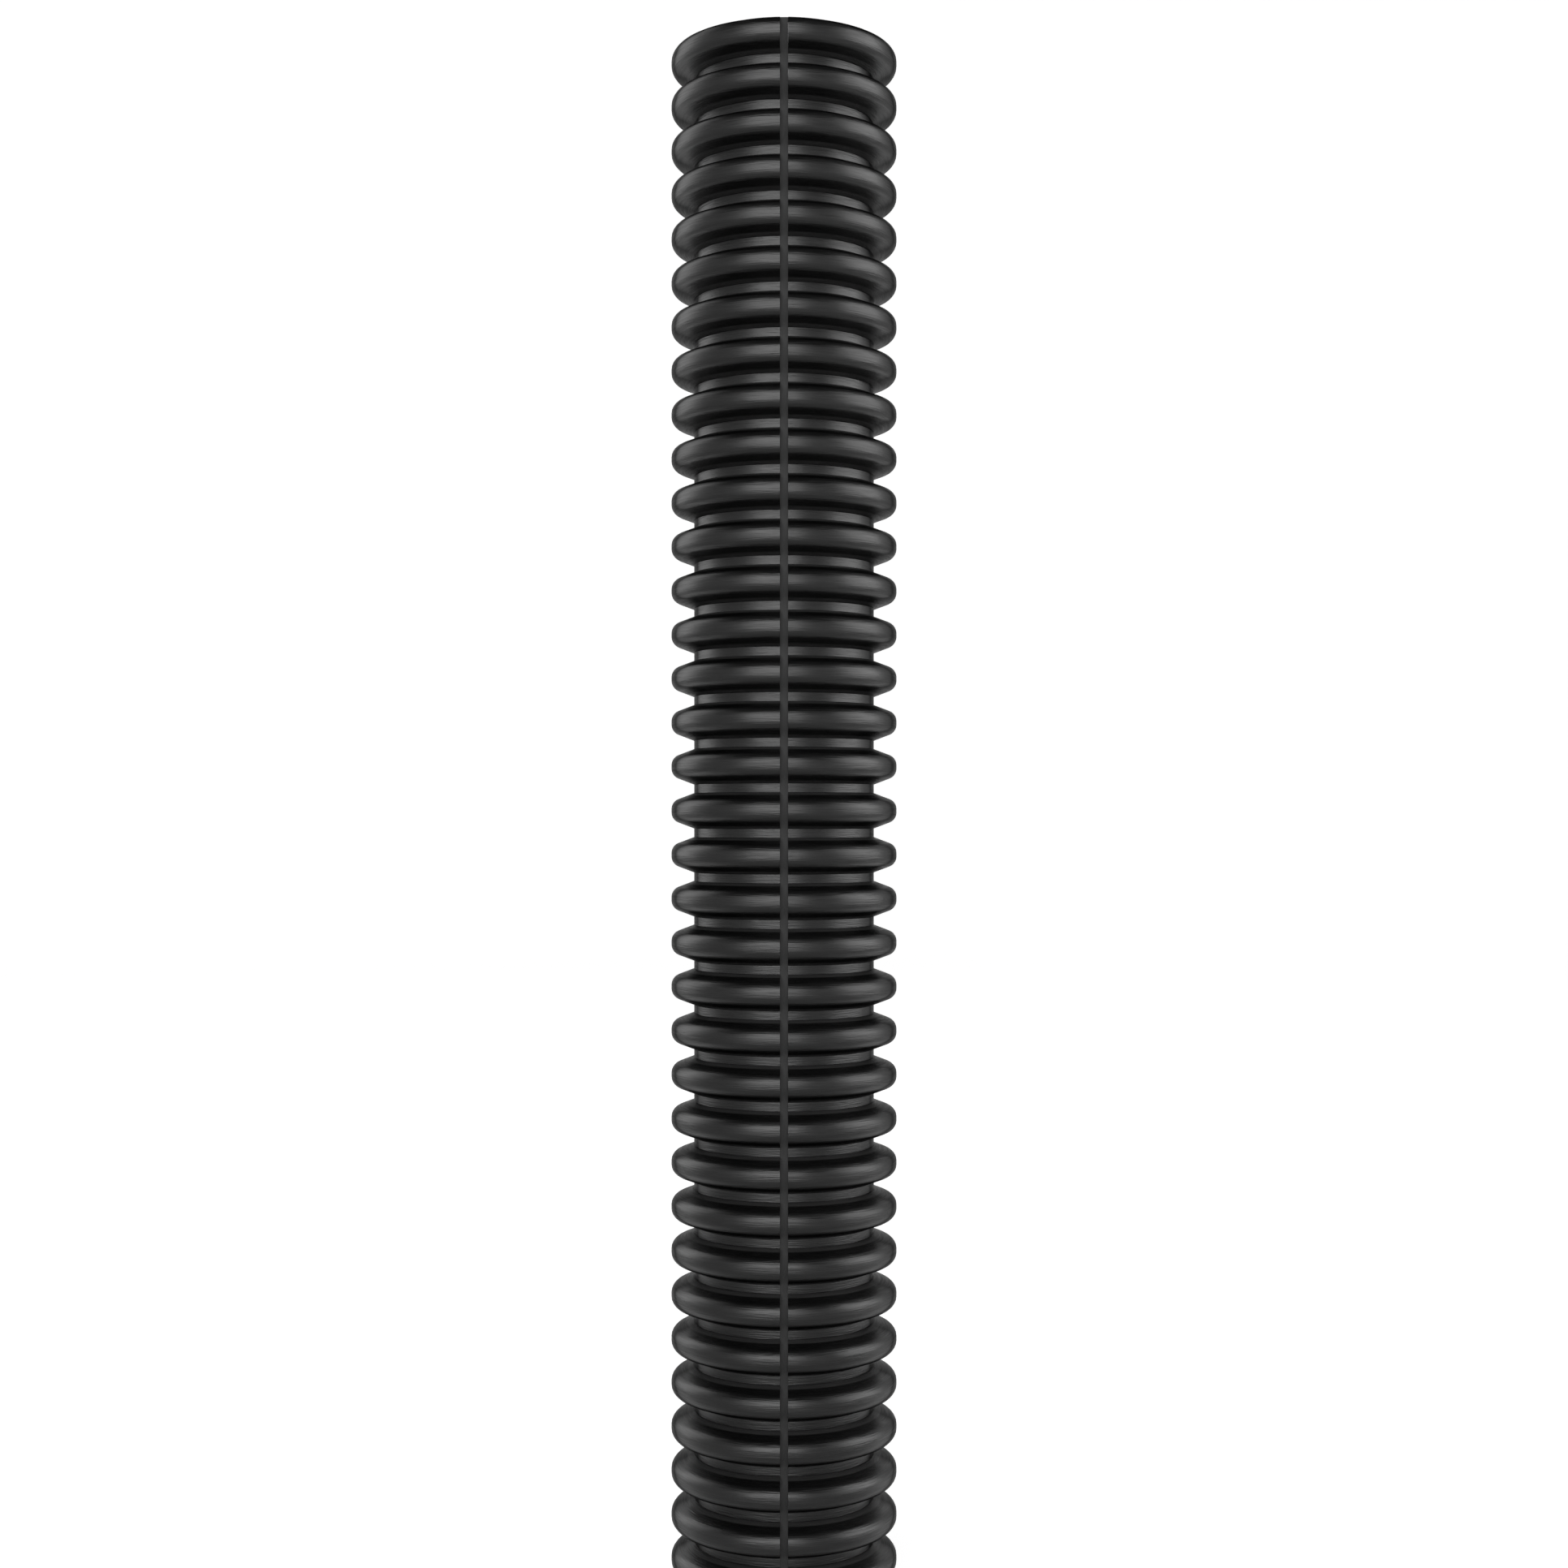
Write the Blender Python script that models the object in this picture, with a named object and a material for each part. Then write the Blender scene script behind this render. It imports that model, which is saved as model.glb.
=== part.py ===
"""Split corrugated conduit: one moulded length of ribbed plastic tube with a lengthwise slit.

The tube stands on its end, centred on Z, with its foot at z = 0 and its slit facing -Y.
A thin lip on one side of the slit fills it behind the ribs, at the level of the valleys.
"""
import math

import bmesh
import bpy
from mathutils import Matrix, Vector

MM = 0.001

# Ribs: how many the cut length holds, and their shape along the tube
RIB_COUNT = 37
PITCH = 4.14 * MM
RIB_BASE = 3.35 * MM
CREST_FLAT = 1.30 * MM

# Diameter over the valleys, how far the ribs stand out from them, and the wall's thickness
VALLEY_DIAMETER = 16.96 * MM
RIB_HEIGHT = 2.14 * MM
WALL = 0.45 * MM

# Slit: its width, and the knife cut left open beside the closing lip
SLIT_WIDTH = 0.74 * MM
KNIFE_CUT = 0.12 * MM

# Closing lip: how far it lies inside both faces of the wall, and how deep it is rooted in it
LIP_INSET = 0.08 * MM
LIP_ROOT = 0.15 * MM

# Facets around the tube, in multiples of four so that its full width falls on both axes
AROUND = 16
SMOOTH_ANGLE = math.radians(35)

# Black plastic
PLASTIC_COLOUR = (0.028, 0.028, 0.029, 1.0)
PLASTIC_ROUGHNESS = 0.42

# Sizes that follow from those above
LENGTH = RIB_COUNT * PITCH - (PITCH - RIB_BASE)
VALLEY_RADIUS = VALLEY_DIAMETER / 2
CREST_RADIUS = VALLEY_RADIUS + RIB_HEIGHT
FLANK_RUN = (RIB_BASE - CREST_FLAT) / 2
FLANK_ANGLE = math.atan2(RIB_HEIGHT, FLANK_RUN)
CORNER_SHIFT = WALL * math.tan(FLANK_ANGLE / 2)
HALF_SLIT = SLIT_WIDTH / 2
SLIT_ANGLE = 2 * math.asin(HALF_SLIT / CREST_RADIUS)


def clear_scene():
    """Remove every object, so that the script can be run again in the same file."""
    for old in list(bpy.data.objects):
        bpy.data.objects.remove(old, do_unlink=True)


def black_plastic():
    """Semi-matt black plastic."""
    plastic = bpy.data.materials.new("black_plastic")
    plastic.use_nodes = True
    surface = plastic.node_tree.nodes["Principled BSDF"]
    surface.inputs["Base Color"].default_value = PLASTIC_COLOUR
    surface.inputs["Roughness"].default_value = PLASTIC_ROUGHNESS
    surface.inputs["Metallic"].default_value = 0.0
    plastic.diffuse_color = PLASTIC_COLOUR
    return plastic


def rib_corners(base, crest, valley_radius, crest_radius):
    """Radius and height of one rib's four corners: foot, crest, crest, foot, from its middle."""
    return [
        (valley_radius, -base / 2),
        (crest_radius, -crest / 2),
        (crest_radius, crest / 2),
        (valley_radius, base / 2),
    ]


def wall_lines():
    """The wall's outer and inner lines, from the foot of the tube to its top."""
    outer_rib = rib_corners(RIB_BASE, CREST_FLAT, VALLEY_RADIUS, CREST_RADIUS)
    inner_rib = rib_corners(
        RIB_BASE - 2 * CORNER_SHIFT,
        CREST_FLAT - 2 * CORNER_SHIFT,
        VALLEY_RADIUS - WALL,
        CREST_RADIUS - WALL,
    )
    outer = []
    inner = []
    for rib in range(RIB_COUNT):
        middle = RIB_BASE / 2 + rib * PITCH
        outer += [(radius, middle + height) for radius, height in outer_rib]
        inner += [(radius, middle + height) for radius, height in inner_rib]
    return outer, inner


def draw_wall_section(bm):
    """The cut wall as a strip of faces in the XZ plane, closed by the two square ends."""
    outer_line, inner_line = wall_lines()
    outer = [bm.verts.new((radius, 0.0, height)) for radius, height in outer_line]
    inner = [bm.verts.new((radius, 0.0, height)) for radius, height in inner_line]
    foot_edge = bm.verts.new((VALLEY_RADIUS - WALL, 0.0, 0.0))
    top_edge = bm.verts.new((VALLEY_RADIUS - WALL, 0.0, LENGTH))
    bm.faces.new((foot_edge, inner[0], outer[0]))
    for low in range(len(outer) - 1):
        bm.faces.new((outer[low], inner[low], inner[low + 1], outer[low + 1]))
    bm.faces.new((outer[-1], inner[-1], top_edge))


def square_slit_side(faces, side):
    """Bring a cut face of the wall onto its side of the slit, so that the slit's sides are parallel."""
    for corner in {vert for face in faces for vert in face.verts}:
        radius = corner.co.xy.length
        corner.co.x = side * HALF_SLIT
        corner.co.y = -math.sqrt(radius**2 - HALF_SLIT**2)


def conduit_mesh():
    """The corrugated wall turned about Z, from one side of the slit round to the other."""
    bm = bmesh.new()
    draw_wall_section(bm)
    start = Matrix.Rotation(-math.pi / 2 + SLIT_ANGLE / 2, 4, "Z")
    bmesh.ops.transform(bm, matrix=start, verts=bm.verts[:])
    right_side = bm.faces[:]
    turned = bmesh.ops.spin(
        bm,
        geom=bm.verts[:] + bm.edges[:] + bm.faces[:],
        cent=(0.0, 0.0, 0.0),
        axis=(0.0, 0.0, 1.0),
        angle=2 * math.pi - SLIT_ANGLE,
        steps=AROUND,
    )
    left_side = [item for item in turned["geom_last"] if isinstance(item, bmesh.types.BMFace)]
    square_slit_side(right_side, 1)
    square_slit_side(left_side, -1)
    bmesh.ops.recalc_face_normals(bm, faces=bm.faces[:])
    mesh = bpy.data.meshes.new("split_conduit")
    bm.to_mesh(mesh)
    bm.free()
    mesh.shade_smooth()
    mesh.set_sharp_from_angle(angle=SMOOTH_ANGLE)
    return mesh


def closing_lip():
    """The lip that fills the slit at valley level, rooted in the wall at -X and free at +X."""
    left = -HALF_SLIT - LIP_ROOT
    right = HALF_SLIT - KNIFE_CUT
    front = -VALLEY_RADIUS + LIP_INSET
    back = -VALLEY_RADIUS + WALL - LIP_INSET
    size = Vector((right - left, back - front, LENGTH))
    middle = Vector(((left + right) / 2, (front + back) / 2, LENGTH / 2))
    bm = bmesh.new()
    bmesh.ops.create_cube(bm, size=1.0, matrix=Matrix.LocRotScale(middle, None, size))
    mesh = bpy.data.meshes.new("closing_lip")
    bm.to_mesh(mesh)
    bm.free()
    lip = bpy.data.objects.new("closing_lip", mesh)
    lip.display_type = "WIRE"
    lip.hide_render = True
    bpy.context.scene.collection.objects.link(lip)
    return lip


def split_conduit():
    """The whole conduit: the corrugated wall with its closing lip, as one moulded solid."""
    conduit = bpy.data.objects.new("split_conduit", conduit_mesh())
    conduit.data.materials.append(black_plastic())
    bpy.context.scene.collection.objects.link(conduit)
    join = conduit.modifiers.new("closing_lip", "BOOLEAN")
    join.operation = "UNION"
    join.solver = "EXACT"
    join.object = closing_lip()
    return conduit


def main():
    clear_scene()
    split_conduit()


main()
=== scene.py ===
"""Split corrugated conduit: its finished wall, the lip that closes its slit, and its studio.

The file is laid out as an add-on and is run as a script. The tube stands on its end at the
middle of the scene, with its slit facing -Y. All sizes are in metres.
"""
import math

import bmesh
import bpy
from bpy.props import FloatProperty, FloatVectorProperty, IntProperty, PointerProperty
from bpy.types import Operator, Panel, PropertyGroup
from mathutils import Matrix, Vector


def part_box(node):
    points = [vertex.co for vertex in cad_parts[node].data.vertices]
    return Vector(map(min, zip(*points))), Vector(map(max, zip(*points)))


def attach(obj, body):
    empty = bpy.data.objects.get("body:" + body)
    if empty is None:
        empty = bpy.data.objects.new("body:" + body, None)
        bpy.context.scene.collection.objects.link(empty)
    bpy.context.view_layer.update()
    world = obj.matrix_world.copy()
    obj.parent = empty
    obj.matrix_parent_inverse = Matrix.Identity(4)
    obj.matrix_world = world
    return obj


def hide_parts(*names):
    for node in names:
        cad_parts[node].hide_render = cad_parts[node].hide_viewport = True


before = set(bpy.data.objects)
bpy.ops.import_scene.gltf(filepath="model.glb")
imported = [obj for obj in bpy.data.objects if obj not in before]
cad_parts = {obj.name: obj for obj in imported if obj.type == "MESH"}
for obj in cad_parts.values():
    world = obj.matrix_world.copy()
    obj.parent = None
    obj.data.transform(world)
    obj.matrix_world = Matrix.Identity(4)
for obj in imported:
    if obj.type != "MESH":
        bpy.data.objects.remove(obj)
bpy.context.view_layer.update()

bl_info = {
    "name": "Split Corrugated Conduit",
    "version": (1, 0, 0),
    "blender": (4, 5, 0),
    "location": "3D View > Sidebar > Conduit",
    "description": "Builds a cut length of split corrugated conduit and the studio it stands in",
    "category": "Add Mesh",
}

MM = 0.001
CONDUIT = "split_conduit"
SMOOTH_ANGLE = math.radians(35)

# How far one feature of the plastic's grain runs around the tube, outwards and along it
FINE_STREAK = (2.2 * MM, 0.12 * MM, 0.10 * MM)
BROAD_STREAK = (5.0 * MM, 0.8 * MM, 0.6 * MM)
KNIFE_SCRATCH = (0.3 * MM, 0.05 * MM, 0.6 * MM)
LIP_GRAIN = (0.2 * MM, 0.2 * MM, 1.2 * MM)
GRAIN_DETAIL = 2.0

# The range that most of a noise's values lie in
NOISE_RANGE = (0.3, 0.7)

# Share of the skin's roughness that follows the fine streaks; the broad ones have the rest
FINE_SHARE = 0.6

# The range of Layer Weight's Facing in which the skin's gloss falls as it turns edge-on, and the
# specular level that it falls from
TURNING_EDGE_ON = (0.45, 0.73)
FACE_ON_GLOSS = 0.5

# The painted reflection on the ribs' feet, a paler grey that stands in for light reflected there:
# it sets in over these heights above the valley and ends over these heights about its top, and its
# strength varies in this range
PAINTED_REFLECTION_START = (0.02 * MM, 0.12 * MM)
PAINTED_REFLECTION_END = (-0.12 * MM, 0.03 * MM)
PAINTED_REFLECTION_PATCHES = (0.75, 1.0)

# Index of refraction, gloss and roughness of the plastic, and how much the lip's shade varies
PLASTIC_IOR = 1.5
CUT_ROUGHNESS = (0.45, 0.65)
LIP_IOR = 1.45
LIP_GLOSS = 0.2
LIP_SHADE = (-0.04, 0.04)

# The white paper, and how finely the floor and the backdrop are turned
PAPER_COLOUR = (0.8, 0.8, 0.8, 1.0)
PAPER_ROUGHNESS = 0.9
TURNED_STEPS = 96
SWEEP_SEGMENTS = 8

# Where the paper's glow fades in or out. Aside is a share of the depth from the camera, behind and
# far are distances behind the tube's centre line, and around is a distance from it.
SEEN_ASIDE = (0.36, 0.62)
SEEN_BEHIND = (-0.030, 0.028)
SEEN_FAR = (0.10, 0.60)
SEEN_AROUND = (0.20, 0.80)

# Azimuth from the camera's side, width, and elevations of the lower and upper edge of each softbox,
# in degrees and as seen from the tube at eye level
FRONT_SOFTBOX = (-11.0, 52.0, -6.0, 45.0)
RIGHT_SOFTBOX = (86.5, 45.0, -6.0, 45.0)
LEFT_SOFTBOX = (-123.0, 46.0, -6.0, 55.0)
SOFTBOX_DISTANCE = 0.5
EYE_LEVEL = 80 * MM

# Width in millimetres of the picture that the lens is stated for, and the nearest that it sees
SENSOR_WIDTH = 36.0
NEAREST = 0.01


def node_radii(name):
    """Smallest and largest distance of a node's corners from the tube's centre line."""
    radii = [corner.co.xy.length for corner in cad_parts[name].data.vertices]
    return min(radii), max(radii)


BORE_RADIUS, CREST_RADIUS = node_radii(CONDUIT)
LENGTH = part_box(CONDUIT)[1].z


class ConduitWall(PropertyGroup):
    """Sizes of the corrugated wall and of the slit along it."""

    rib_count: IntProperty(
        name="Ribs", description="Ribs on the cut length", default=37, min=1
    )
    rib_base: FloatProperty(
        name="Rib base",
        description="Width of a rib where it rises from the valleys",
        default=3.35 * MM,
        unit="LENGTH",
        precision=5,
    )
    rib_crest: FloatProperty(
        name="Rib crest",
        description="Width of a rib's crest, between its corners before they are rounded",
        default=1.72 * MM,
        unit="LENGTH",
        precision=5,
    )
    crest_rounding: FloatProperty(
        name="Crest rounding",
        description="How far the rounding of a crest corner runs along the crest and the flank",
        default=0.65 * MM,
        unit="LENGTH",
        precision=5,
    )
    wall: FloatProperty(
        name="Wall",
        description="Thickness of the moulded wall",
        default=0.45 * MM,
        unit="LENGTH",
        precision=5,
    )
    slit_width: FloatProperty(
        name="Slit",
        description="Width of the lengthwise slit",
        default=0.74 * MM,
        unit="LENGTH",
        precision=5,
    )
    knife_cut: FloatProperty(
        name="Knife cut",
        description="Gap left between the closing lip and the free side of the slit",
        default=0.0,
        unit="LENGTH",
        precision=5,
    )
    lip_inset: FloatProperty(
        name="Lip inset",
        description="How far the closing lip lies inside both faces of the wall",
        default=0.08 * MM,
        unit="LENGTH",
        precision=5,
    )
    lip_root: FloatProperty(
        name="Lip root",
        description="How deep the closing lip is rooted in the wall",
        default=0.15 * MM,
        unit="LENGTH",
        precision=5,
    )
    lip_rounding: FloatProperty(
        name="Lip rounding",
        description="How far the rounding of the closing lip's edges runs along its faces",
        default=0.03 * MM,
        unit="LENGTH",
        precision=5,
    )
    steps_around: IntProperty(
        name="Steps around", description="Faces around the tube", default=96, min=16
    )
    outer_arc: IntProperty(
        name="Outer arc", description="Faces round an outer crest corner", default=5, min=1
    )
    inner_arc: IntProperty(
        name="Inner arc", description="Faces round an inner crest corner", default=3, min=1
    )


class ConduitFinish(PropertyGroup):
    """Colours and gloss of the moulded skin and of the closing lip."""

    skin_colour: FloatVectorProperty(
        name="Skin",
        description="Colour of the moulded black plastic",
        subtype="COLOR",
        default=(0.0015, 0.0015, 0.0015),
    )
    edge_gloss: FloatProperty(
        name="Edge gloss",
        description="Specular level of the moulded skin where it is seen edge-on; it is 0.5 face-on",
        subtype="FACTOR",
        default=0.01,
        min=0.0,
        max=0.5,
    )
    # Painted reflection: a paler grey low on the ribs, between two of them, that stands in for light
    # reflected there
    painted_reflection_colour: FloatVectorProperty(
        name="Rib foot",
        description="Colour of the duller plastic low on the ribs, between two of them",
        subtype="COLOR",
        default=(0.026, 0.026, 0.026),
    )
    # How far up a rib the painted reflection reaches from the valley
    painted_reflection_height: FloatProperty(
        name="Foot height",
        description="How far the duller plastic reaches up a rib from the valley",
        default=0.70 * MM,
        unit="LENGTH",
        precision=5,
    )
    skin_roughness: FloatProperty(
        name="Skin roughness",
        description="Roughness of the moulded skin between its streaks",
        subtype="FACTOR",
        default=0.36,
        min=0.0,
        max=1.0,
    )
    streak_roughness: FloatProperty(
        name="Streaks",
        description="How much the roughness varies in the fine streaks around the tube",
        subtype="FACTOR",
        default=0.16,
        min=0.0,
        max=1.0,
    )
    streak_height: FloatProperty(
        name="Streak height",
        description="Depth of the fine streaks that the mould leaves around the tube",
        default=0.030 * MM,
        unit="LENGTH",
        precision=6,
    )
    lip_colour: FloatVectorProperty(
        name="Lip",
        description="Colour of the matt closing lip in the valleys",
        subtype="COLOR",
        default=(0.036, 0.036, 0.036),
    )
    # Painted light: the paler colour of the lip behind the ribs offsets the shade that the ribs cast
    # on it
    lip_painted_light_colour: FloatVectorProperty(
        name="Deep lip",
        description="Colour of the closing lip behind the ribs, where it lies deepest",
        subtype="COLOR",
        default=(0.076, 0.076, 0.076),
    )
    lip_roughness: FloatProperty(
        name="Lip roughness",
        description="Roughness of the closing lip",
        subtype="FACTOR",
        default=0.65,
        min=0.0,
        max=1.0,
    )


class ConduitStage(PropertyGroup):
    """The floor, the lamps and the camera."""

    floor_radius: FloatProperty(
        name="Floor radius",
        description="Radius of the round floor, out to the backdrop's edge",
        default=0.4,
        unit="LENGTH",
    )
    backdrop_radius: FloatProperty(
        name="Backdrop radius",
        description="Radius of the upright backdrop",
        default=1.6,
        unit="LENGTH",
    )
    backdrop_height: FloatProperty(
        name="Backdrop height",
        description="Height of the backdrop above the floor",
        default=1.20,
        unit="LENGTH",
    )
    eye_height: FloatProperty(
        name="Eye height",
        description="Height of the camera above the floor",
        default=79.8 * MM,
        unit="LENGTH",
        precision=4,
    )
    distance: FloatProperty(
        name="Distance",
        description="Distance from the camera to the tube's centre line",
        default=214.5 * MM,
        unit="LENGTH",
        precision=4,
    )
    lens: FloatProperty(
        name="Lens", description="Focal length, for a picture 36 mm wide", default=52.12
    )
    rise: FloatProperty(
        name="Rise", description="Upward shift of the lens", default=0.0207, precision=4
    )
    front_light: FloatProperty(
        name="Front light", description="Brightness of the front softbox", default=3.7
    )
    right_light: FloatProperty(
        name="Right light", description="Brightness of the right softbox", default=2.95
    )
    left_light: FloatProperty(
        name="Left light", description="Brightness of the rear left softbox", default=1.35
    )
    room_light: FloatProperty(
        name="Room light",
        description="Brightness of the room above the backdrop",
        default=0.03,
    )
    backdrop_glow: FloatProperty(
        name="Backdrop glow",
        description="Glow that makes up the brightness of the backdrop away from the lamps",
        default=0.50,
    )
    white_glow: FloatProperty(
        name="White glow",
        description="Glow that makes the floor behind the tube white",
        default=0.63,
    )
    far_glow: FloatProperty(
        name="Far glow",
        description="Glow that makes the backdrop behind the tube white",
        default=0.935,
    )


def settings(context):
    """The three groups of settings."""
    scene = context.scene
    return scene.conduit_wall, scene.conduit_finish, scene.conduit_stage


def new_material(name):
    """An empty node material, with its shader and its output."""
    material = bpy.data.materials.new(name)
    material.use_nodes = True
    return material, material.node_tree.nodes, material.node_tree.links


def maths(nodes, links, operation, first, second):
    """A Math node, each of whose inputs is a socket or a number."""
    node = nodes.new("ShaderNodeMath")
    node.operation = operation
    for place, value in enumerate((first, second)):
        if isinstance(value, (int, float)):
            node.inputs[place].default_value = value
        else:
            links.new(value, node.inputs[place])
    return node.outputs[0]


def ramp(nodes, links, value, start, end, low, high):
    """A smooth ramp from a low to a high result, between two values of its input."""
    node = nodes.new("ShaderNodeMapRange")
    node.interpolation_type = "SMOOTHSTEP"
    node.inputs["From Min"].default_value = start
    node.inputs["From Max"].default_value = end
    node.inputs["To Min"].default_value = low
    node.inputs["To Max"].default_value = high
    links.new(value, node.inputs["Value"])
    return node.outputs["Result"]


def tube_place(nodes, links):
    """Angle around the tube, with its seam in the slit, distance from the centre line, and height."""
    place = nodes.new("ShaderNodeTexCoord")
    split = nodes.new("ShaderNodeSeparateXYZ")
    links.new(place.outputs["Object"], split.inputs[0])
    x, y, z = split.outputs
    angle = maths(nodes, links, "ARCTAN2", x, y)
    across = maths(nodes, links, "MULTIPLY", x, x)
    along = maths(nodes, links, "MULTIPLY", y, y)
    radius = maths(nodes, links, "POWER", maths(nodes, links, "ADD", across, along), 0.5)
    return angle, radius, z


def around_the_tube(nodes, links, run_around, run_out, run_along):
    """Coordinates that follow the tube round, in steps of a feature's size in each direction.

    The first runs around the tube, the second outwards and the third along it.
    """
    angle, radius, height = tube_place(nodes, links)
    joined = nodes.new("ShaderNodeCombineXYZ")
    links.new(maths(nodes, links, "MULTIPLY", angle, CREST_RADIUS / run_around), joined.inputs[0])
    links.new(maths(nodes, links, "DIVIDE", radius, run_out), joined.inputs[1])
    links.new(maths(nodes, links, "DIVIDE", height, run_along), joined.inputs[2])
    return joined.outputs[0]


def grain(nodes, links, feature):
    """Noise that follows the tube round, with features of a size around, outwards and along it."""
    node = nodes.new("ShaderNodeTexNoise")
    node.inputs["Scale"].default_value = 1.0
    node.inputs["Detail"].default_value = GRAIN_DETAIL
    links.new(around_the_tube(nodes, links, *feature), node.inputs["Vector"])
    return node.outputs["Fac"]


def spread(nodes, links, value, low, high):
    """Noise stretched from its usual range to one of its own."""
    node = nodes.new("ShaderNodeMapRange")
    node.inputs["From Min"].default_value = NOISE_RANGE[0]
    node.inputs["From Max"].default_value = NOISE_RANGE[1]
    node.inputs["To Min"].default_value = low
    node.inputs["To Max"].default_value = high
    links.new(value, node.inputs["Value"])
    return node.outputs["Result"]


def blend(nodes, links, share, first, second):
    """A colour that goes from a first to a second one as a share goes from 0 to 1."""
    mix = nodes.new("ShaderNodeMix")
    mix.data_type = "RGBA"
    mix.inputs["A"].default_value = (*first, 1.0)
    mix.inputs["B"].default_value = (*second, 1.0)
    links.new(share, mix.inputs["Factor"])
    return mix.outputs["Result"]


def moulded_skin(size, finish):
    """Black plastic as it leaves the mould: a satin gloss with fine streaks around the tube.

    Low on the ribs it is a paler grey, a painted reflection of the light between two ribs.
    """
    material, nodes, links = new_material("moulded_skin")
    shader = nodes["Principled BSDF"]
    shader.inputs["IOR"].default_value = PLASTIC_IOR
    fine = grain(nodes, links, FINE_STREAK)
    broad = grain(nodes, links, BROAD_STREAK)
    most = maths(nodes, links, "MULTIPLY", fine, FINE_SHARE)
    rest = maths(nodes, links, "MULTIPLY", broad, 1 - FINE_SHARE)
    low = finish.skin_roughness - finish.streak_roughness / 2
    high = finish.skin_roughness + finish.streak_roughness / 2
    roughness = spread(nodes, links, maths(nodes, links, "ADD", most, rest), low, high)
    links.new(roughness, shader.inputs["Roughness"])
    view = nodes.new("ShaderNodeLayerWeight")
    facing = view.outputs["Facing"]
    gloss = ramp(nodes, links, facing, *TURNING_EDGE_ON, FACE_ON_GLOSS, finish.edge_gloss)
    links.new(gloss, shader.inputs["Specular IOR Level"])
    # Painted reflection: the foot mask blends a paler grey onto the ribs' feet, patchy with the fine
    # streaks
    valley = BORE_RADIUS + size.wall
    _, radius, _ = tube_place(nodes, links)
    painted_reflection_top = valley + finish.painted_reflection_height
    above_valley = ramp(nodes, links, radius, *(valley + rise for rise in PAINTED_REFLECTION_START), 0.0, 1.0)
    below_top = ramp(nodes, links, radius, *(painted_reflection_top + rise for rise in PAINTED_REFLECTION_END), 1.0, 0.0)
    foot = maths(nodes, links, "MULTIPLY", above_valley, below_top)
    patchy_painted_reflection = maths(nodes, links, "MULTIPLY", foot, spread(nodes, links, fine, *PAINTED_REFLECTION_PATCHES))
    colour = blend(nodes, links, patchy_painted_reflection, finish.skin_colour, finish.painted_reflection_colour)
    links.new(colour, shader.inputs["Base Color"])
    bump = nodes.new("ShaderNodeBump")
    bump.inputs["Distance"].default_value = finish.streak_height
    links.new(fine, bump.inputs["Height"])
    links.new(bump.outputs["Normal"], shader.inputs["Normal"])
    return material


def cut_plastic(finish):
    """The same plastic where a knife has gone through it: matt, with scratches along the cut."""
    material, nodes, links = new_material("cut_plastic")
    shader = nodes["Principled BSDF"]
    shader.inputs["Base Color"].default_value = (*finish.skin_colour, 1.0)
    shader.inputs["IOR"].default_value = PLASTIC_IOR
    scratches = grain(nodes, links, KNIFE_SCRATCH)
    links.new(spread(nodes, links, scratches, *CUT_ROUGHNESS), shader.inputs["Roughness"])
    return material


def matt_lip(size, finish):
    """The lip's plastic: drawn smooth and matt, and paler behind each rib, as painted light that
    offsets the shade the ribs cast on it.
    """
    material, nodes, links = new_material("matt_lip")
    shader = nodes["Principled BSDF"]
    shader.inputs["IOR"].default_value = LIP_IOR
    shader.inputs["Specular IOR Level"].default_value = LIP_GLOSS
    shader.inputs["Roughness"].default_value = finish.lip_roughness
    # Painted light: a wave along the height makes the lip paler behind each rib, against the ribs'
    # shade; the grain adds random tone
    _, _, height = tube_place(nodes, links)
    from_rib = maths(nodes, links, "SUBTRACT", height, size.rib_base / 2)
    turn = maths(nodes, links, "MULTIPLY", from_rib, 2 * math.pi / rib_pitch(size))
    wave = maths(nodes, links, "COSINE", turn, 0.0)
    half_wave = maths(nodes, links, "MULTIPLY", wave, 0.5)
    painted_light_behind_rib = maths(nodes, links, "ADD", half_wave, 0.5)
    uneven = spread(nodes, links, grain(nodes, links, LIP_GRAIN), *LIP_SHADE)
    painted_light_and_grain = maths(nodes, links, "ADD", painted_light_behind_rib, uneven)
    colour = blend(nodes, links, painted_light_and_grain, finish.lip_colour, finish.lip_painted_light_colour)
    links.new(colour, shader.inputs["Base Color"])
    return material


def finish_piece(bm, name, materials):
    """Turn a finished bmesh into a smooth piece of the conduit, at the origin."""
    bmesh.ops.recalc_face_normals(bm, faces=bm.faces[:])
    mesh = bpy.data.meshes.new(name)
    bm.to_mesh(mesh)
    bm.free()
    mesh.shade_smooth()
    mesh.set_sharp_from_angle(angle=SMOOTH_ANGLE)
    for material in materials:
        mesh.materials.append(material)
    piece = bpy.data.objects.new(name, mesh)
    bpy.context.scene.collection.objects.link(piece)
    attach(piece, "root")
    return piece


def add_rib_line(bm, corners, rounding, segments, middle):
    """One rib's line as wire in the XZ plane, its crest corners rounded. Gives its two feet."""
    verts = [bm.verts.new((radius, 0.0, middle + height)) for radius, height in corners]
    for low, high in zip(verts, verts[1:]):
        bm.edges.new((low, high))
    bmesh.ops.bevel(
        bm,
        geom=verts[1:-1],
        offset=rounding,
        offset_type="OFFSET",
        segments=segments,
        profile=0.5,
        affect="VERTICES",
        material=-1,
    )
    return verts[0], verts[-1]


def rib_pitch(size):
    """Distance from one rib to the next."""
    return (LENGTH - size.rib_base) / (size.rib_count - 1)


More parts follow.
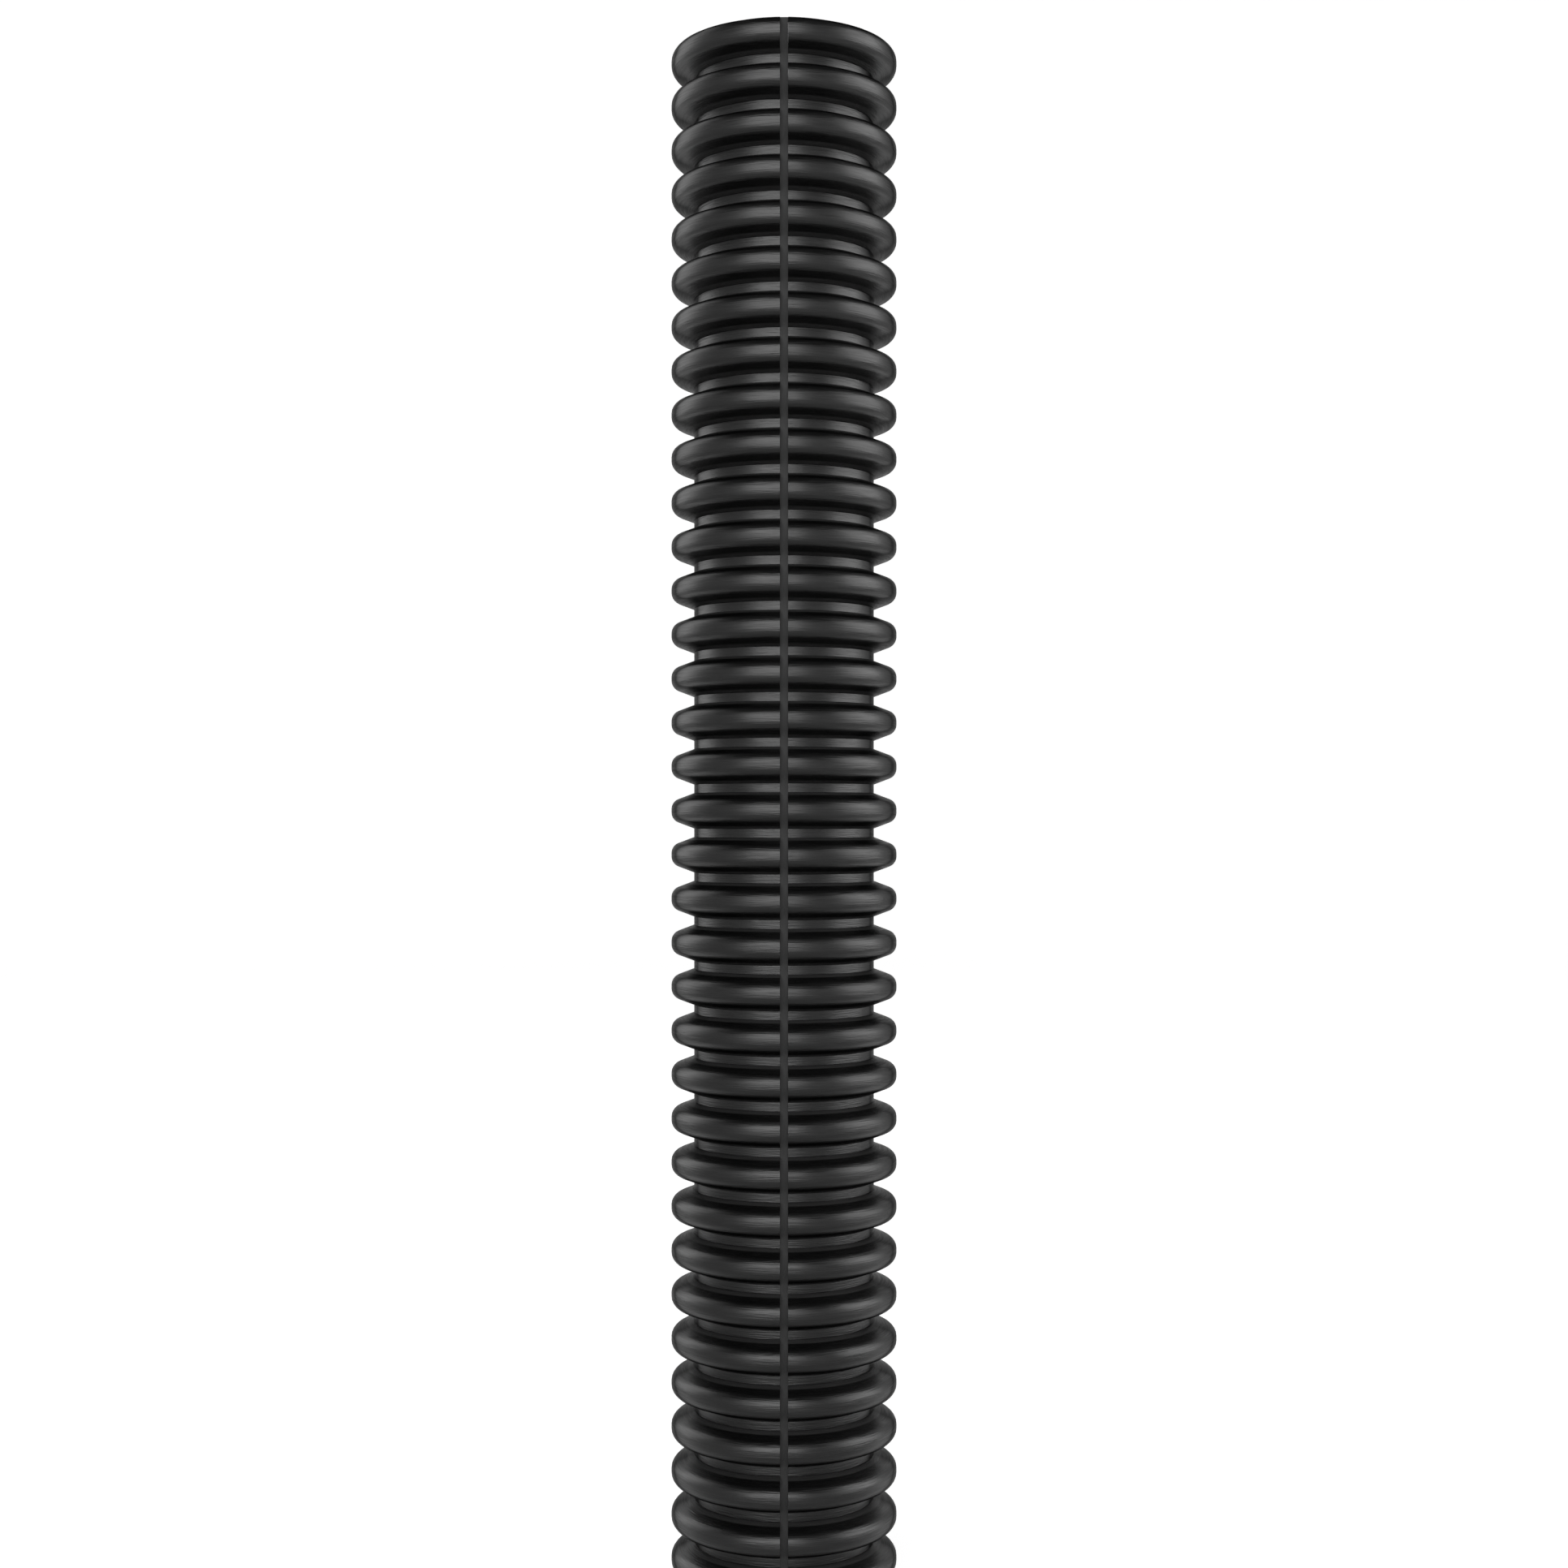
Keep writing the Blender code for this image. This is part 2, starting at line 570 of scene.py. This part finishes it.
def add_wall_line(bm, size, depth, segments):
    """The line of the wall's outer face, or of the face that lies a depth inside it.

    Gives the line's lower and upper end.
    """
    height = CREST_RADIUS - BORE_RADIUS - size.wall
    flank = math.atan2(height, (size.rib_base - size.rib_crest) / 2)
    shift = depth * math.tan(flank / 2)
    corner_radius = size.crest_rounding / math.tan(flank / 2)
    rounding = size.crest_rounding * (1 - depth / corner_radius)
    half_base = size.rib_base / 2 - shift
    half_crest = size.rib_crest / 2 - shift
    low_radius = BORE_RADIUS + size.wall - depth
    high_radius = CREST_RADIUS - depth
    corners = [
        (low_radius, -half_base),
        (high_radius, -half_crest),
        (high_radius, half_crest),
        (low_radius, half_base),
    ]
    pitch = rib_pitch(size)
    feet = []
    for rib in range(size.rib_count):
        middle = size.rib_base / 2 + rib * pitch
        feet += add_rib_line(bm, corners, rounding, segments, middle)
    for low, high in zip(feet[1::2], feet[2::2]):
        bm.edges.new((low, high))
    return feet[0], feet[-1]


def square_slit_side(faces, side, slit_width):
    """Bring a cut face of the wall onto its side of the slit, so that its sides are parallel."""
    half = slit_width / 2
    for corner in {vert for face in faces for vert in face.verts}:
        radius = corner.co.xy.length
        corner.co.x = side * half
        corner.co.y = -math.sqrt(radius**2 - half**2)


def draw_section(bm, size):
    """The wall's cut section: both its lines joined at the square ends, and filled."""
    outer_foot, outer_top = add_wall_line(bm, size, 0.0, size.outer_arc)
    inner_foot, inner_top = add_wall_line(bm, size, size.wall, size.inner_arc)
    foot = bm.verts.new((BORE_RADIUS, 0.0, 0.0))
    top = bm.verts.new((BORE_RADIUS, 0.0, LENGTH))
    for first, second in (
        (outer_foot, foot),
        (foot, inner_foot),
        (inner_top, top),
        (top, outer_top),
    ):
        bm.edges.new((first, second))
    bmesh.ops.triangle_fill(bm, edges=bm.edges[:], use_beauty=True)


def wall_mesh(size):
    """The wall turned about Z from one side of the slit round to the other."""
    bm = bmesh.new()
    draw_section(bm, size)
    slit_angle = 2 * math.asin(size.slit_width / 2 / CREST_RADIUS)
    start = Matrix.Rotation(-math.pi / 2 + slit_angle / 2, 4, "Z")
    bmesh.ops.transform(bm, matrix=start, verts=bm.verts[:])
    right_side = bm.faces[:]
    turned = bmesh.ops.spin(
        bm,
        geom=bm.verts[:] + bm.edges[:] + bm.faces[:],
        cent=(0.0, 0.0, 0.0),
        axis=(0.0, 0.0, 1.0),
        angle=2 * math.pi - slit_angle,
        steps=size.steps_around,
    )
    left_side = [item for item in turned["geom_last"] if isinstance(item, bmesh.types.BMFace)]
    square_slit_side(right_side, 1, size.slit_width)
    square_slit_side(left_side, -1, size.slit_width)
    for face in right_side + left_side:
        face.material_index = 1
    return bm


class CONDUIT_OT_corrugated_wall(Operator):
    """Make the corrugated wall with its hollow ribs"""

    bl_idname = "conduit.corrugated_wall"
    bl_label = "Corrugated Wall"

    def execute(self, context):
        size, finish, _ = settings(context)
        bm = wall_mesh(size)
        materials = [moulded_skin(size, finish), cut_plastic(finish)]
        wall = finish_piece(bm, "corrugated_wall", materials)
        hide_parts(CONDUIT)
        return {"FINISHED"}


class CONDUIT_OT_closing_lip(Operator):
    """Make the thin lip that closes the slit behind the ribs"""

    bl_idname = "conduit.closing_lip"
    bl_label = "Closing Lip"

    def execute(self, context):
        size, finish, _ = settings(context)
        left = -size.slit_width / 2 - size.lip_root
        right = size.slit_width / 2 - size.knife_cut
        front = -BORE_RADIUS - size.wall + size.lip_inset
        back = -BORE_RADIUS - size.lip_inset
        extent = Vector((right - left, back - front, LENGTH))
        middle = Vector(((left + right) / 2, (front + back) / 2, LENGTH / 2))
        bm = bmesh.new()
        bmesh.ops.create_cube(bm, size=1.0, matrix=Matrix.LocRotScale(middle, None, extent))
        bmesh.ops.bevel(
            bm,
            geom=bm.edges[:],
            offset=size.lip_rounding,
            offset_type="OFFSET",
            segments=2,
            profile=0.5,
            affect="EDGES",
            material=-1,
        )
        finish_piece(bm, "closing_lip", [matt_lip(size, finish)])
        return {"FINISHED"}


def white_paper(stage):
    """Matt white paper for the floor and backdrop, with a glow that only shows and lights nothing.

    The glow makes up for the distance from the lamps. It is there on the backdrop, and on the
    stretch of paper that the camera sees behind the tube, which is pure white.
    """
    material, nodes, links = new_material("white_paper")
    shader = nodes["Principled BSDF"]
    shader.inputs["Base Color"].default_value = PAPER_COLOUR
    shader.inputs["Roughness"].default_value = PAPER_ROUGHNESS
    shader.inputs["Specular IOR Level"].default_value = 0.0
    place = nodes.new("ShaderNodeTexCoord")
    split = nodes.new("ShaderNodeSeparateXYZ")
    links.new(place.outputs["Object"], split.inputs[0])
    x, y, _ = split.outputs
    depth = maths(nodes, links, "ADD", y, stage.distance)
    slant = maths(nodes, links, "DIVIDE", maths(nodes, links, "ABSOLUTE", x, 0.0), depth)
    aside = ramp(nodes, links, slant, *SEEN_ASIDE, 1.0, 0.0)
    behind = ramp(nodes, links, y, *SEEN_BEHIND, 0.0, stage.white_glow)
    far = ramp(nodes, links, y, *SEEN_FAR, 0.0, stage.far_glow - stage.white_glow)
    white = maths(nodes, links, "MULTIPLY", maths(nodes, links, "ADD", behind, far), aside)
    _, radius, _ = tube_place(nodes, links)
    around = ramp(nodes, links, radius, *SEEN_AROUND, 0.0, stage.backdrop_glow)
    glow = maths(nodes, links, "MAXIMUM", white, around)
    path = nodes.new("ShaderNodeLightPath")
    seen = maths(nodes, links, "MAXIMUM", path.outputs["Is Camera Ray"], path.outputs["Is Glossy Ray"])
    seen = maths(nodes, links, "MAXIMUM", seen, path.outputs["Is Transmission Ray"])
    emission = nodes.new("ShaderNodeEmission")
    links.new(maths(nodes, links, "MULTIPLY", seen, glow), emission.inputs["Strength"])
    add = nodes.new("ShaderNodeAddShader")
    links.new(shader.outputs[0], add.inputs[0])
    links.new(emission.outputs[0], add.inputs[1])
    links.new(add.outputs[0], nodes["Material Output"].inputs["Surface"])
    return material


def turned_surface(name, line, material, rounding=0.0):
    """A surface of the stage, turned about Z from a line of points with its corners rounded."""
    bm = bmesh.new()
    verts = [bm.verts.new((radius, 0.0, height)) for radius, height in line]
    for low, high in zip(verts, verts[1:]):
        bm.edges.new((low, high))
    if len(verts) > 2:
        bmesh.ops.bevel(
            bm,
            geom=verts[1:-1],
            offset=rounding,
            offset_type="OFFSET",
            segments=SWEEP_SEGMENTS,
            profile=0.5,
            affect="VERTICES",
            material=-1,
        )
    bmesh.ops.spin(
        bm,
        geom=bm.verts[:] + bm.edges[:],
        cent=(0.0, 0.0, 0.0),
        axis=(0.0, 0.0, 1.0),
        angle=2 * math.pi,
        steps=TURNED_STEPS,
        use_merge=True,
    )
    bmesh.ops.remove_doubles(bm, verts=bm.verts[:], dist=0.1 * MM)
    bmesh.ops.recalc_face_normals(bm, faces=bm.faces[:])
    bm.faces.ensure_lookup_table()
    if bm.faces[0].normal.z < 0:
        bmesh.ops.reverse_faces(bm, faces=bm.faces[:])
    mesh = bpy.data.meshes.new(name)
    bm.to_mesh(mesh)
    bm.free()
    mesh.shade_smooth()
    mesh.materials.append(material)
    surface = bpy.data.objects.new(name, mesh)
    bpy.context.scene.collection.objects.link(surface)
    return surface


def add_floor(stage):
    """A round white floor, and the backdrop into which it sweeps up all the way round.

    The light that the backdrop would scatter is left out: it is weak at the tube, and following it
    takes most of a render's time.
    """
    paper = white_paper(stage)
    turned_surface("floor", [(0.0, 0.0), (stage.floor_radius, 0.0)], paper)
    foot = (stage.floor_radius, 0.0)
    corner = (stage.backdrop_radius, 0.0)
    rim = (stage.backdrop_radius, stage.backdrop_height)
    backdrop = turned_surface("backdrop", [foot, corner, rim], paper, stage.backdrop_height / 2)
    backdrop.visible_diffuse = False


def add_softbox(name, azimuth, span, low, high, brightness):
    """An upright softbox that faces the tube, with the span of its width as seen from there.

    Its azimuth is counted from the camera's side. Low and high are the elevations of its
    edges as seen from the eye's height. All of these are in degrees.
    """
    foot = EYE_LEVEL + SOFTBOX_DISTANCE * math.tan(math.radians(low))
    head = EYE_LEVEL + SOFTBOX_DISTANCE * math.tan(math.radians(high))
    lamp = bpy.data.lights.new(name, "AREA")
    lamp.shape = "RECTANGLE"
    lamp.size = 2 * SOFTBOX_DISTANCE * math.tan(math.radians(span / 2))
    lamp.size_y = head - foot
    lamp.energy = brightness * math.pi * lamp.size * lamp.size_y
    softbox = bpy.data.objects.new(name, lamp)
    turn = math.radians(azimuth)
    softbox.location = (
        SOFTBOX_DISTANCE * math.sin(turn),
        -SOFTBOX_DISTANCE * math.cos(turn),
        (foot + head) / 2,
    )
    softbox.rotation_euler = (math.pi / 2, 0.0, turn)
    bpy.context.scene.collection.objects.link(softbox)


def add_camera(stage):
    """A level camera in front of the slit, with its lens shifted up."""
    camera = bpy.data.cameras.new("camera")
    camera.sensor_width = SENSOR_WIDTH
    camera.lens = stage.lens
    camera.shift_y = stage.rise
    camera.clip_start = NEAREST
    eye = bpy.data.objects.new("camera", camera)
    eye.location = (0.0, -stage.distance, stage.eye_height)
    eye.rotation_euler = (math.pi / 2, 0.0, 0.0)
    bpy.context.scene.collection.objects.link(eye)
    bpy.context.scene.camera = eye


def light_room(stage):
    """The room beyond the softboxes, even and dim."""
    world = bpy.data.worlds.new("room")
    world.use_nodes = True
    background = world.node_tree.nodes["Background"]
    background.inputs["Color"].default_value = (1.0, 1.0, 1.0, 1.0)
    background.inputs["Strength"].default_value = stage.room_light
    bpy.context.scene.world = world


class CONDUIT_OT_stage(Operator):
    """Set up the floor, the softboxes, the room's light and the camera"""

    bl_idname = "conduit.stage"
    bl_label = "Stage"

    def execute(self, context):
        _, _, stage = settings(context)
        add_floor(stage)
        add_softbox("front_softbox", *FRONT_SOFTBOX, stage.front_light)
        add_softbox("right_softbox", *RIGHT_SOFTBOX, stage.right_light)
        add_softbox("left_softbox", *LEFT_SOFTBOX, stage.left_light)
        light_room(stage)
        add_camera(stage)
        context.scene.view_settings.view_transform = "Standard"
        return {"FINISHED"}


class VIEW3D_PT_conduit(Panel):
    """Settings and steps of the conduit, in the 3D view's sidebar"""

    bl_label = "Conduit"
    bl_space_type = "VIEW_3D"
    bl_region_type = "UI"
    bl_category = "Conduit"

    def draw(self, context):
        for group in settings(context):
            box = self.layout.box()
            for name in group.bl_rna.properties.keys():
                if name not in {"name", "rna_type"}:
                    box.prop(group, name)
        for step in STEPS:
            self.layout.operator(step.bl_idname)


GROUPS = {"conduit_wall": ConduitWall, "conduit_finish": ConduitFinish, "conduit_stage": ConduitStage}
STEPS = (CONDUIT_OT_corrugated_wall, CONDUIT_OT_closing_lip, CONDUIT_OT_stage)


def register():
    for name, group in GROUPS.items():
        bpy.utils.register_class(group)
        setattr(bpy.types.Scene, name, PointerProperty(type=group))
    for step in STEPS:
        bpy.utils.register_class(step)
    bpy.utils.register_class(VIEW3D_PT_conduit)


def unregister():
    bpy.utils.unregister_class(VIEW3D_PT_conduit)
    for step in reversed(STEPS):
        bpy.utils.unregister_class(step)
    for name, group in GROUPS.items():
        delattr(bpy.types.Scene, name)
        bpy.utils.unregister_class(group)


def main():
    register()
    bpy.ops.conduit.corrugated_wall()
    bpy.ops.conduit.closing_lip()
    bpy.ops.conduit.stage()


if __name__ == "__main__":
    main()
